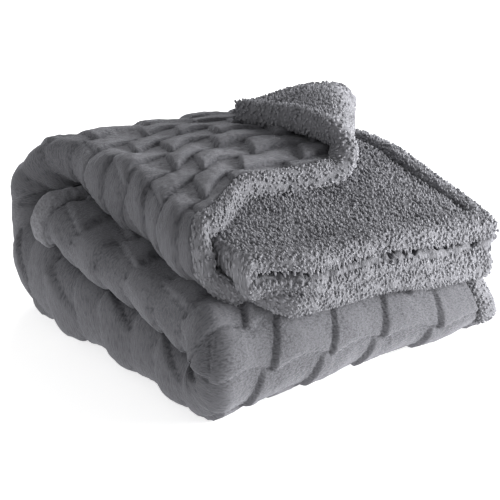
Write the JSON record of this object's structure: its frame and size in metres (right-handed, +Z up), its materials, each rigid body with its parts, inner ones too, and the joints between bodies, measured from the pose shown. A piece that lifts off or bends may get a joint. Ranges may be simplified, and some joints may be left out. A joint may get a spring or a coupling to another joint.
{
  "type": "folded throw blanket",
  "caption": "Folded reversible throw blanket with a sculpted plush face, curly fleece back and one top corner turned back.",
  "frame": {"origin": "middle of the base, on the surface that the folded throw rests on", "axes": "+Z up, through the thickness of the pack; +X from the rounded folds towards the open ends with the turned hem; -Y is the front, with the smooth wall below and the hem edges above"},
  "size_m": [0.4406, 0.4392, 0.2424],
  "materials": {
    "plush_face": "mid-grey short plush with a soft directional nap, sculpted in offset blocks",
    "fleece_back": "lighter grey curly sherpa fleece, matte",
    "hem_thread": "matte grey sewing thread"
  },
  "bodies": {
    "root": {"back_cloth": "fleece_back", "face_cloth": "plush_face", "hem_stitching_front": "hem_thread", "hem_stitching_inner": "hem_thread", "hem_stitching_lower_end": "hem_thread", "hem_stitching_top_end": "hem_thread"}
  },
  "joints": []
}
